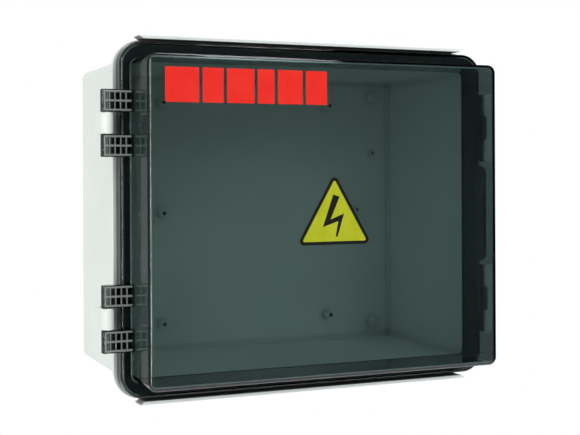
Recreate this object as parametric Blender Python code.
"""Hinged wall enclosure for a DC combiner: light-grey moulded base, smoked clear door,
two pinned hinges on the left, two snap latches on the right.

Metres, +Z up, the front faces -Y. The origin is the centre of the flat back (wall) face.
"""
import bmesh
import bpy
from math import cos, pi, radians, sin
from mathutils import Matrix, Vector

MM = 0.001

# ---- driving dimensions (metres) ------------------------------------------------------
TOTAL_DEPTH = 240 * MM          # wall face to window face
WINDOW_SIZE = (368 * MM, 306 * MM)
WINDOW_RISE = 58 * MM           # window face in front of the door flange
DOOR_FLANGE = (396 * MM, 338 * MM)
LATCH_SIDE_SHIFT = 4 * MM       # flange and rim reach further on the latch side
FLANGE_CORNER = 22 * MM
DOOR_SKIRT = 16 * MM            # flange face to the skirt's back edge
DOOR_WALL = 3 * MM
SKIRT_WALL = 2.5 * MM
BODY_SIZE = (376 * MM, 310 * MM)
BODY_WALL = 3.2 * MM
RIM_SIZE = (403 * MM, 343 * MM)
RIM_THICK = 4.2 * MM
RAIL_TOP = 175 * MM             # half of the overall height
RAIL_THICK = 3.2 * MM
RAIL_SPAN = (-176 * MM, 181.5 * MM)
RAIL_SLANT = 5 * MM             # each rail end slants back this far towards the rim
HINGE_HEIGHT = 91 * MM          # hinge and latch centres above and below the middle
PIN_RADIUS = 2 * MM
BULGE_EDGE = 210.5 * MM         # flange and rim reach this X between the latches
BULGE_HALF = 50 * MM
BULGE_RADIUS = 5 * MM
SEAL_HOLE_X = 205.5 * MM        # holes for a padlock or a wire seal, in the bulge
SEAL_HOLE_Z = 32 * MM
SEAL_HOLE_RADIUS = 2 * MM
GAP = 0.3 * MM                  # clearance between neighbouring pieces

# ---- planes and places worked out from them --------------------------------------------
FLANGE_FACE = -(TOTAL_DEPTH - WINDOW_RISE)
WINDOW_FACE = -TOTAL_DEPTH
SKIRT_BACK = FLANGE_FACE + DOOR_SKIRT
RIM_FACE = SKIRT_BACK + 0.5 * MM
RIM_BACK = RIM_FACE + RIM_THICK
RIDGE_THICK = 2.2 * MM
RIDGE_FACE = FLANGE_FACE + 12 * MM
CAVITY = (BODY_SIZE[0] - 2 * BODY_WALL, BODY_SIZE[1] - 2 * BODY_WALL)
CAVITY_CORNER = 4 * MM
CAVITY_COVE = 3 * MM            # fillet between the back wall and the side walls
RIM_LEFT = LATCH_SIDE_SHIFT - RIM_SIZE[0] / 2
RIM_RIGHT = LATCH_SIDE_SHIFT + RIM_SIZE[0] / 2
FLANGE_LEFT = LATCH_SIDE_SHIFT - DOOR_FLANGE[0] / 2
FLANGE_RIGHT = LATCH_SIDE_SHIFT + DOOR_FLANGE[0] / 2
HINGE_AXIS = (RIM_LEFT - 10.5 * MM, FLANGE_FACE - 4 * MM)
HINGE_RADIUS = 6 * MM
KNUCKLE_INNER = 10.4 * MM       # half of the gap that the base barrel fills
KNUCKLE_OUTER = 31.5 * MM
POCKET_CELLS = 5                # cells in each row of a knuckle's front
POCKET_POST = 1.2 * MM
LATCH_AXIS = (206 * MM, RIM_BACK + 5.4 * MM)
LATCH_RADIUS = 5 * MM
LATCH_HALF = 36 * MM
TAB_HALF = 12 * MM              # half height of the door's catch tabs
TAB_REACH = 4 * MM
NOSE_LEFT = FLANGE_RIGHT + 1.1 * MM
NOSE_FRONT = FLANGE_FACE - 6 * MM
BORE_RADIUS = PIN_RADIUS + 1.2 * GAP
SIDES = (("upper", 1), ("lower", -1))

# back-wall fittings: mounting-plate bosses, wall-screw towers and small locating bosses
BOSS_COLUMN = 101 * MM
BOSS_ROWS = (-122 * MM, 0.0, 122 * MM)
BOSS_HEIGHT = 15 * MM
BOSS_RADIUS = 4.6 * MM
BOSS_HOLE = 2.1 * MM
TOWER_PLACE = (161 * MM, 134 * MM)
TOWER_HEIGHT = 14 * MM
TOWER_RADIUS = 6 * MM
TOWER_BORE = 4.6 * MM
SCREW_HOLE = 2.6 * MM
STUD_PLACE = (141 * MM, 0.0)
SIDE_STUD = (162 * MM, 67 * MM)
STUD_HEIGHT = 4 * MM

# labels on the window face
LABEL_THICK = 0.4 * MM
TRIANGLE_SIDE = 79.5 * MM
TRIANGLE_CORNER = 4.5 * MM
TRIANGLE_CENTRE_Z = -1.9 * MM
NAME_LABEL = (161 * MM, 32 * MM)
NAME_CENTRE = (-88 * MM, 124.6 * MM)

# colour, roughness and metallic of each material
FINISHES = {
    "base_grey": ((0.80, 0.82, 0.79, 1.0), 0.42, 0.0),
    "smoked_clear": ((0.05, 0.07, 0.07, 0.5), 0.08, 0.0),
    "gasket_black": ((0.03, 0.03, 0.03, 1.0), 0.75, 0.0),
    "pin_steel": ((0.62, 0.62, 0.60, 1.0), 0.28, 1.0),
    "latch_grey": ((0.74, 0.76, 0.74, 1.0), 0.40, 0.0),
    "cap_grey": ((0.77, 0.79, 0.76, 1.0), 0.45, 0.0),
    "label_red": ((0.85, 0.05, 0.03, 1.0), 0.35, 0.0),
    "label_yellow": ((0.85, 0.75, 0.03, 1.0), 0.35, 0.0),
}


# ---- scene helpers ---------------------------------------------------------------------
def clear_scene():
    for obj in list(bpy.data.objects):
        bpy.data.objects.remove(obj, do_unlink=True)


def new_collection(name):
    group = bpy.data.collections.new(name)
    bpy.context.scene.collection.children.link(group)
    return group


def material(name):
    if name in bpy.data.materials:
        return bpy.data.materials[name]
    colour, rough, metal = FINISHES[name]
    mat = bpy.data.materials.new(name)
    mat.use_nodes = True
    shader = mat.node_tree.nodes["Principled BSDF"]
    shader.inputs["Base Color"].default_value = colour
    shader.inputs["Roughness"].default_value = rough
    shader.inputs["Metallic"].default_value = metal
    shader.inputs["Alpha"].default_value = colour[3]
    return mat


def add_object(name, bm, group, finish=None, location=(0, 0, 0)):
    mesh = bpy.data.meshes.new(name)
    bmesh.ops.recalc_face_normals(bm, faces=bm.faces)
    bm.to_mesh(mesh)
    bm.free()
    if finish:
        mesh.materials.append(material(finish))
    obj = bpy.data.objects.new(name, mesh)
    obj.location = location
    group.objects.link(obj)
    return obj


def as_cutter(obj):
    obj.hide_render = True
    obj.display_type = "WIRE"
    return obj


def combine(target, tool, operation):
    step = target.modifiers.new(operation.lower() + "_" + tool.name, "BOOLEAN")
    step.operation = operation
    step.solver = "EXACT"
    step.object = as_cutter(tool)


# ---- primitive shapes, added to a bmesh ------------------------------------------------
def add_box(bm, xs, ys, zs):
    size = Vector((xs[1] - xs[0], ys[1] - ys[0], zs[1] - zs[0]))
    middle = Vector((xs[0] + xs[1], ys[0] + ys[1], zs[0] + zs[1])) / 2
    matrix = Matrix.Translation(middle) @ Matrix.Diagonal((*size, 1))
    return bmesh.ops.create_cube(bm, size=1, matrix=matrix)["verts"]


def add_drum(bm, centre, radius, length, axis, segments=24):
    turn = {"Z": Matrix.Identity(4), "Y": Matrix.Rotation(pi / 2, 4, "X")}[axis]
    matrix = Matrix.Translation(centre) @ turn
    bmesh.ops.create_cone(bm, cap_ends=True, segments=segments, radius1=radius, radius2=radius,
                          depth=length, matrix=matrix)


def add_rounded_block(bm, size, ys, radius, segments=6, edge=0.0, taper=0.0, shift=0.0):
    """A block along the Y axis with rounded corners, its middle at X = shift.

    edge rounds the rim of its front face (ys[0]); taper pulls the back face in all round.
    """
    half = (size[0] / 2, size[1] / 2)
    verts = add_box(bm, (-half[0], half[0]), ys, (-half[1], half[1]))
    corners = {e for v in verts for e in v.link_edges
               if abs(e.verts[0].co.y - e.verts[1].co.y) > abs(ys[1] - ys[0]) / 2}
    made = bmesh.ops.bevel(bm, geom=list(corners), offset=radius, segments=segments,
                           profile=0.5, affect="EDGES")
    verts = {v for f in made["faces"] for v in f.verts}
    if taper:
        for v in verts:
            if abs(v.co.y - ys[1]) < 1e-6:
                v.co.x -= taper * (1 if v.co.x > 0 else -1)
                v.co.z -= taper * (1 if v.co.z > 0 else -1)
    if edge:
        front = {e for v in verts for e in v.link_edges
                 if all(abs(w.co.y - ys[0]) < 1e-6 for w in e.verts)}
        bmesh.ops.bevel(bm, geom=list(front), offset=edge, segments=3, profile=0.5,
                        affect="EDGES")
    bmesh.ops.translate(bm, verts=bm.verts, vec=(shift, 0, 0))


def rounded_block(name, group, size, ys, radius, finish=None, **more):
    bm = bmesh.new()
    add_rounded_block(bm, size, ys, radius, **more)
    return add_object(name, bm, group, finish)


def outline_plate(name, group, points, height, z_middle):
    """A flat outline in X and Y, extruded along Z, as a welded mesh."""
    curve = bpy.data.curves.new(name, "CURVE")
    curve.dimensions = "2D"
    curve.fill_mode = "BOTH"
    curve.extrude = height / 2
    spline = curve.splines.new("POLY")
    spline.points.add(len(points) - 1)
    for point, (x, y) in zip(spline.points, points):
        point.co = (x, y, 0, 1)
    spline.use_cyclic_u = True
    guide = bpy.data.objects.new(name + "_outline", curve)
    guide.location.z = z_middle
    group.objects.link(guide)
    bpy.context.view_layer.update()
    shape = bpy.context.evaluated_depsgraph_get()
    mesh = bpy.data.meshes.new_from_object(guide.evaluated_get(shape))
    bm = bmesh.new()
    bm.from_mesh(mesh)
    bmesh.ops.transform(bm, matrix=guide.matrix_world, verts=bm.verts)
    bmesh.ops.remove_doubles(bm, verts=bm.verts, dist=1e-6)
    bpy.data.objects.remove(guide)
    bpy.data.meshes.remove(mesh)
    return add_object(name, bm, group)


def arc(centre, radius, start, end, steps):
    """Points of an arc in X and Y, angles in degrees."""
    angles = [radians(start + (end - start) * i / steps) for i in range(steps + 1)]
    return [(centre[0] + radius * cos(a), centre[1] + radius * sin(a)) for a in angles]


# ---- features that the rim and the door flange share -----------------------------------
def side_bulge(name, group, ys, inset=0.0, edge=0.0):
    """The stretch between the latches, where flange and rim reach further out."""
    width = 60 * MM
    return rounded_block(name, group, (width, 2 * (BULGE_HALF - inset)), ys,
                         BULGE_RADIUS - inset, edge=edge,
                         shift=BULGE_EDGE - inset - width / 2)


def seal_holes(name, group):
    bm = bmesh.new()
    for _, side in SIDES:
        middle = (SEAL_HOLE_X, (FLANGE_FACE + RIM_BACK) / 2, side * SEAL_HOLE_Z)
        add_drum(bm, middle, SEAL_HOLE_RADIUS, RIM_BACK - FLANGE_FACE + 6 * MM, "Y", 16)
    return add_object(name, bm, group)


# ---- base shell ------------------------------------------------------------------------
def hinge_lug_outline():
    x, y = HINGE_AXIS
    rim_edge = RIM_LEFT
    barrel = arc((x, y), HINGE_RADIUS, 360, 180, 12)
    foot = [(x - HINGE_RADIUS, RIM_FACE - 4 * MM), (rim_edge, RIM_BACK - 0.1 * MM),
            (rim_edge + 4 * MM, RIM_BACK - 0.1 * MM), (rim_edge + 4 * MM, RIM_FACE + 0.1 * MM),
            (x + HINGE_RADIUS, RIM_FACE - 1 * MM)]
    return barrel + foot


def latch_lug_outline():
    x, y = LATCH_AXIS
    wall = BODY_SIZE[0] / 2 - 1 * MM
    barrel = arc((x, y), LATCH_RADIUS, 90, -120, 14)
    foot = [(RIM_RIGHT - 2 * MM, RIM_FACE + 0.1 * MM), (wall, RIM_FACE + 0.1 * MM),
            (wall, y + 11 * MM)]
    return barrel + foot


def back_wall_bosses(name, group):
    """Every raised boss on the inside of the back wall, as separate drums."""
    floor = -BODY_WALL + 1 * MM
    bm = bmesh.new()

    def boss(place, radius, height):
        top = -BODY_WALL - height
        add_drum(bm, (place[0], (floor + top) / 2, place[1]), radius, floor - top, "Y", 20)

    for x in (-BOSS_COLUMN, BOSS_COLUMN):
        for z in BOSS_ROWS:
            boss((x, z), BOSS_RADIUS, BOSS_HEIGHT)
    for sx in (-1, 1):
        boss((sx * STUD_PLACE[0], STUD_PLACE[1]), BOSS_RADIUS, STUD_HEIGHT)
        boss((sx * SIDE_STUD[0], SIDE_STUD[1]), BOSS_RADIUS, STUD_HEIGHT)
        for sz in (-1, 1):
            boss((sx * TOWER_PLACE[0], sz * TOWER_PLACE[1]), TOWER_RADIUS, TOWER_HEIGHT)
    return add_object(name, bm, group)


def back_wall_holes(name, group):
    bm = bmesh.new()

    def hole(place, radius, y_from, y_to, segments=16):
        add_drum(bm, (place[0], (y_from + y_to) / 2, place[1]), radius, abs(y_to - y_from), "Y",
                 segments)

    boss_top = -BODY_WALL - BOSS_HEIGHT
    for x in (-BOSS_COLUMN, BOSS_COLUMN):
        for z in BOSS_ROWS:
            hole((x, z), BOSS_HOLE, boss_top - 1 * MM, -BODY_WALL - 1 * MM)
    for sx in (-1, 1):
        for x, z in (STUD_PLACE, SIDE_STUD):
            hole((sx * x, z), BOSS_HOLE, -BODY_WALL - STUD_HEIGHT - 1 * MM, -BODY_WALL)
        for sz in (-1, 1):
            place = (sx * TOWER_PLACE[0], sz * TOWER_PLACE[1])
            hole(place, TOWER_BORE, -BODY_WALL - TOWER_HEIGHT - 1 * MM, -BODY_WALL - 1 * MM, 20)
    return add_object(name, bm, group)


def wall_screw_holes(name, group):
    bm = bmesh.new()
    for sx in (-1, 1):
        for sz in (-1, 1):
            add_drum(bm, (sx * TOWER_PLACE[0], -BODY_WALL / 2, sz * TOWER_PLACE[1]), SCREW_HOLE,
                     BODY_WALL + 4 * MM, "Y", 16)
    return add_object(name, bm, group)


def rain_rails(group):
    """The two rails above and below the door, narrower on the side that faces it."""
    bm = bmesh.new()
    inner = RAIL_TOP - RAIL_THICK
    for side in (-1, 1):
        verts = add_box(bm, RAIL_SPAN, (FLANGE_FACE, RIM_BACK),
                        sorted((side * inner, side * RAIL_TOP)))
        for v in verts:
            if abs(abs(v.co.z) - inner) < 1e-6:
                v.co.x -= RAIL_SLANT * (1 if v.co.x > 0 else -1)
    return add_object("rain_rails", bm, group)


def build_base_shell(parts, tools):
    shell = rounded_block("base_shell", parts, BODY_SIZE, (RIM_BACK - 1 * MM, 0), 9 * MM,
                          finish="base_grey", taper=1 * MM)
    rim = rounded_block("rim_plate", tools, RIM_SIZE, (RIM_FACE, RIM_BACK), 27 * MM, segments=8,
                        shift=LATCH_SIDE_SHIFT)
    combine(rim, side_bulge("rim_bulge", tools, (RIM_FACE, RIM_BACK)), "UNION")
    combine(shell, rim, "UNION")
    ridge_size = (CAVITY[0] + 2 * RIDGE_THICK, CAVITY[1] + 2 * RIDGE_THICK)
    ridge = rounded_block("seal_ridge", tools, ridge_size, (RIDGE_FACE, RIM_BACK - 0.5 * MM),
                          CAVITY_CORNER + RIDGE_THICK)
    combine(shell, ridge, "UNION")

    combine(shell, rain_rails(tools), "UNION")
    bm = bmesh.new()
    left, right = RAIL_SPAN
    for side in (-1, 1):
        zs = sorted((side * (RIM_SIZE[1] / 2 - 6 * MM), side * (RAIL_TOP - 1 * MM)))
        add_box(bm, (left + RAIL_SLANT, right - RAIL_SLANT), (RIM_FACE + 0.2 * MM,
                                                              RIM_BACK - 0.2 * MM), zs)
    combine(shell, add_object("rail_roots", bm, tools), "UNION")

    cavity = rounded_block("cavity", tools, CAVITY, (-BODY_WALL, RIDGE_FACE - 5 * MM),
                           CAVITY_CORNER, edge=CAVITY_COVE)
    combine(shell, cavity, "DIFFERENCE")
    combine(shell, back_wall_bosses("bosses", tools), "UNION")
    combine(shell, back_wall_holes("boss_holes", tools), "DIFFERENCE")
    combine(shell, wall_screw_holes("wall_screw_holes", tools), "DIFFERENCE")

    lug_height = 2 * (KNUCKLE_INNER - GAP)
    for side_name, side in SIDES:
        z = side * HINGE_HEIGHT
        lug = outline_plate("hinge_lug_" + side_name, tools, hinge_lug_outline(), lug_height, z)
        combine(shell, lug, "UNION")
        lug = outline_plate("latch_lug_" + side_name, tools, latch_lug_outline(), lug_height, z)
        combine(shell, lug, "UNION")
    bm = bmesh.new()
    for _, side in SIDES:
        for axis in (HINGE_AXIS, LATCH_AXIS):
            add_drum(bm, (*axis, side * HINGE_HEIGHT), BORE_RADIUS, 3 * KNUCKLE_INNER, "Z", 24)
    combine(shell, add_object("base_pin_bores", bm, tools), "DIFFERENCE")
    combine(shell, seal_holes("rim_seal_holes", tools), "DIFFERENCE")
    return shell


# ---- door ------------------------------------------------------------------------------
def knuckle_outline():
    x, y = HINGE_AXIS
    wall = -WINDOW_SIZE[0] / 2 + 1 * MM
    barrel = arc((x, y), HINGE_RADIUS, 270, 20, 14)
    arm = [(FLANGE_LEFT - 1 * MM, FLANGE_FACE + 3 * MM),
           (FLANGE_LEFT + 3 * MM, FLANGE_FACE + 1 * MM), (wall, FLANGE_FACE + 1 * MM),
           (wall, y - HINGE_RADIUS)]
    return barrel + arm


def pocket_spans():
    """The X ranges of the cells in one row of a knuckle's front."""
    left, right = HINGE_AXIS[0] - 3.2 * MM, -WINDOW_SIZE[0] / 2 - 2.5 * MM
    width = (right - left - (POCKET_CELLS - 1) * POCKET_POST) / POCKET_CELLS
    starts = [left + i * (width + POCKET_POST) for i in range(POCKET_CELLS)]
    return [(start, start + width) for start in starts]


def knuckle_ranges(side):
    """The two knuckles of one hinge, as low and high Z."""
    middle = side * HINGE_HEIGHT
    return ((middle - KNUCKLE_OUTER, middle - KNUCKLE_INNER),
            (middle + KNUCKLE_INNER, middle + KNUCKLE_OUTER))


def build_door_shell(parts, tools):
    door = rounded_block("door_shell", parts, DOOR_FLANGE, (FLANGE_FACE, SKIRT_BACK), FLANGE_CORNER,
                         finish="smoked_clear", segments=7, edge=2.5 * MM,
                         shift=LATCH_SIDE_SHIFT)
    bulge = side_bulge("flange_bulge", tools, (FLANGE_FACE, SKIRT_BACK), edge=2.5 * MM)
    combine(door, bulge, "UNION")
    block = rounded_block("window_block", tools, WINDOW_SIZE,
                          (WINDOW_FACE, FLANGE_FACE + 1 * MM), 8 * MM, edge=4.5 * MM)
    combine(door, block, "UNION")
    for side_name, side in SIDES:
        for number, (low, high) in enumerate(knuckle_ranges(side)):
            knuckle = outline_plate("knuckle_%s_%d" % (side_name, number), tools,
                                    knuckle_outline(), high - low, (low + high) / 2)
            combine(door, knuckle, "UNION")

    pocket_size = [s - 2 * SKIRT_WALL for s in DOOR_FLANGE]
    pocket = rounded_block("flange_pocket", tools, pocket_size,
                           (FLANGE_FACE + DOOR_WALL, SKIRT_BACK + 5 * MM),
                           FLANGE_CORNER - SKIRT_WALL, segments=7,
                           shift=LATCH_SIDE_SHIFT)
    combine(pocket, side_bulge("pocket_bulge", tools, (FLANGE_FACE + DOOR_WALL,
                                                       SKIRT_BACK + 5 * MM), SKIRT_WALL), "UNION")
    combine(door, pocket, "DIFFERENCE")
    hollow_size = [s - 2 * DOOR_WALL for s in WINDOW_SIZE]
    hollow = rounded_block("window_hollow", tools, hollow_size,
                           (WINDOW_FACE + DOOR_WALL, FLANGE_FACE + 8 * MM), 5.5 * MM,
                           edge=2 * MM)
    combine(door, hollow, "DIFFERENCE")

    bm = bmesh.new()
    for _, side in SIDES:
        for low, high in knuckle_ranges(side):
            rib = 2.3 * MM
            pocket_height = (high - low - 3 * rib) / 2
            for step in (0, 1):
                bottom = low + rib + step * (pocket_height + rib)
                for start, end in pocket_spans():
                    add_box(bm, (start, end), (HINGE_AXIS[1] - 8 * MM, HINGE_AXIS[1] - 3.4 * MM),
                            (bottom, bottom + pocket_height))
    combine(door, add_object("knuckle_pockets", bm, tools), "DIFFERENCE")
    bm = bmesh.new()
    for _, side in SIDES:
        add_drum(bm, (*HINGE_AXIS, side * HINGE_HEIGHT), BORE_RADIUS, 3 * KNUCKLE_OUTER, "Z", 24)
    combine(door, add_object("door_pin_bores", bm, tools), "DIFFERENCE")
    bm = bmesh.new()
    for _, side in SIDES:
        z = side * HINGE_HEIGHT
        add_box(bm, (FLANGE_RIGHT - 1 * MM, FLANGE_RIGHT + TAB_REACH),
                (FLANGE_FACE + 2.6 * MM, FLANGE_FACE + 7 * MM), (z - TAB_HALF, z + TAB_HALF))
    combine(door, add_object("catch_tabs", bm, tools), "UNION")
    combine(door, seal_holes("flange_seal_holes", tools), "DIFFERENCE")
    return door


def build_gasket(parts, tools):
    """A flat foam frame that fills the flange's channel and meets the base's sealing ridge."""
    margin = SKIRT_WALL + 2 * GAP
    outer = [s - 2 * margin for s in DOOR_FLANGE]
    inner = (CAVITY[0] - 2.4 * MM, CAVITY[1] - 2.4 * MM)
    ys = (FLANGE_FACE + DOOR_WALL + GAP, RIDGE_FACE - GAP)
    gasket = rounded_block("door_gasket", parts, outer, ys, FLANGE_CORNER - margin,
                           finish="gasket_black", segments=7, shift=LATCH_SIDE_SHIFT)
    hole = rounded_block("gasket_hole", tools, inner, (ys[0] - 5 * MM, ys[1] + 5 * MM), 5 * MM)
    combine(gasket, hole, "DIFFERENCE")
    return gasket


# ---- latches ---------------------------------------------------------------------------
def lever_outline():
    """Section of the lever: knuckle round the pin, side plate, nose over the front."""
    x, y = LATCH_AXIS
    knuckle = arc((x, y), LATCH_RADIUS, 0, 280, 16)
    inner = [(x + 1.4 * MM, y - 6.5 * MM), (x + 1.4 * MM, NOSE_FRONT + 4 * MM),
             (NOSE_LEFT, NOSE_FRONT + 4 * MM)]
    outer = [(NOSE_LEFT, NOSE_FRONT + 1 * MM), (NOSE_LEFT + 1 * MM, NOSE_FRONT),
             (x + 5 * MM, NOSE_FRONT), (x + 7 * MM, NOSE_FRONT + 1 * MM),
             (x + 5 * MM, NOSE_FRONT + 9 * MM)]
    return knuckle + inner + outer


def cheek_outline():
    """Section of the thin plates that close the lever's two ends."""
    left, right = NOSE_LEFT + 0.5 * MM, LATCH_AXIS[0] + 4 * MM
    back, front = RIM_FACE - 1.2 * MM, NOSE_FRONT + 1 * MM
    return [(left, back), (left, front), (right, front), (right, back)]


def build_lever(parts, tools, side_name, side):
    z = side * HINGE_HEIGHT
    name = "latch_lever_" + side_name
    lever = outline_plate(name, parts, lever_outline(), 2 * LATCH_HALF, z)
    lever.data.materials.append(material("latch_grey"))
    cheek = 2.5 * MM
    for number, end in enumerate((-1, 1)):
        middle = z + end * (LATCH_HALF - cheek / 2 - 0.1 * MM)
        plate = outline_plate("%s_cheek_%d" % (name, number), tools, cheek_outline(), cheek,
                              middle)
        combine(lever, plate, "UNION")
    bm = bmesh.new()
    x, y = LATCH_AXIS
    add_box(bm, (x - 12 * MM, x + 12 * MM), (y - LATCH_RADIUS - 0.8 * MM, y + 8 * MM),
            (z - KNUCKLE_INNER, z + KNUCKLE_INNER))
    add_box(bm, (FLANGE_RIGHT, FLANGE_RIGHT + TAB_REACH + 1 * MM),
            (NOSE_FRONT - 2 * MM, FLANGE_FACE + 9 * MM),
            (z - TAB_HALF - 2 * GAP, z + TAB_HALF + 2 * GAP))
    combine(lever, add_object(name + "_gaps", bm, tools), "DIFFERENCE")
    bm = bmesh.new()
    add_drum(bm, (x, y, z), BORE_RADIUS, 3 * LATCH_HALF, "Z", 24)
    combine(lever, add_object(name + "_bore", bm, tools), "DIFFERENCE")
    return lever


def build_pins(parts):
    for side_name, side in SIDES:
        z = side * HINGE_HEIGHT
        for kind, axis, half in (("hinge", HINGE_AXIS, KNUCKLE_OUTER), ("latch", LATCH_AXIS,
                                                                        LATCH_HALF)):
            bm = bmesh.new()
            add_drum(bm, (0, 0, 0), PIN_RADIUS, 2 * (half - 0.5 * MM), "Z", 24)
            add_object("%s_pin_%s" % (kind, side_name), bm, parts, "pin_steel", (*axis, z))


# ---- wall-screw covers and labels ------------------------------------------------------
def build_caps(parts):
    """A snap cap closes each wall-screw tower: a disc with a short plug below it."""
    tower_top = -BODY_WALL - TOWER_HEIGHT
    names = {(-1, 1): "upper_left", (1, 1): "upper_right", (-1, -1): "lower_left",
             (1, -1): "lower_right"}
    for (sx, sz), place in names.items():
        bm = bmesh.new()
        profile = [(0, -2.2), (5.2, -2.2), (6.0, -1.4), (6.0, -0.3), (4.2, -0.3), (4.2, 6.0),
                   (0, 6.0)]
        points = [bm.verts.new((r * MM, y * MM, 0)) for r, y in profile]
        edges = [bm.edges.new(pair) for pair in zip(points[:-1], points[1:])]
        bmesh.ops.spin(bm, geom=points + edges, cent=(0, 0, 0), axis=(0, 1, 0), angle=2 * pi,
                       steps=20, use_merge=True)
        bmesh.ops.remove_doubles(bm, verts=bm.verts, dist=1e-6)
        add_object("wall_screw_cap_" + place, bm, parts, "cap_grey",
                   (sx * TOWER_PLACE[0], tower_top, sz * TOWER_PLACE[1]))


def triangle_points(side_length, corner, steps=5):
    """An upright triangle with rounded corners, centred on its centroid."""
    points = []
    for apex in (90, 210, 330):
        reach = side_length / 3 ** 0.5 - 2 * corner
        centre = (reach * cos(radians(apex)), reach * sin(radians(apex)))
        points += arc(centre, corner, apex - 60, apex + 60, steps)
    return points


def build_labels(parts):
    upright = Matrix.Rotation(pi / 2, 4, "X")
    y = WINDOW_FACE - GAP - LABEL_THICK / 2
    label = outline_plate("warning_label", parts, triangle_points(TRIANGLE_SIDE, TRIANGLE_CORNER),
                          LABEL_THICK, 0)
    label.data.transform(Matrix.Translation((0, y, TRIANGLE_CENTRE_Z)) @ upright)
    label.data.materials.append(material("label_yellow"))
    bm = bmesh.new()
    add_box(bm, (-NAME_LABEL[0] / 2, NAME_LABEL[0] / 2), (-LABEL_THICK / 2, LABEL_THICK / 2),
            (-NAME_LABEL[1] / 2, NAME_LABEL[1] / 2))
    add_object("name_label", bm, parts, "label_red", (NAME_CENTRE[0], y, NAME_CENTRE[1]))


def build():
    clear_scene()
    parts = new_collection("combiner_enclosure")
    tools = new_collection("cutters")
    build_base_shell(parts, tools)
    build_door_shell(parts, tools)
    build_gasket(parts, tools)
    for side_name, side in SIDES:
        build_lever(parts, tools, side_name, side)
    build_pins(parts)
    build_caps(parts)
    build_labels(parts)


build()
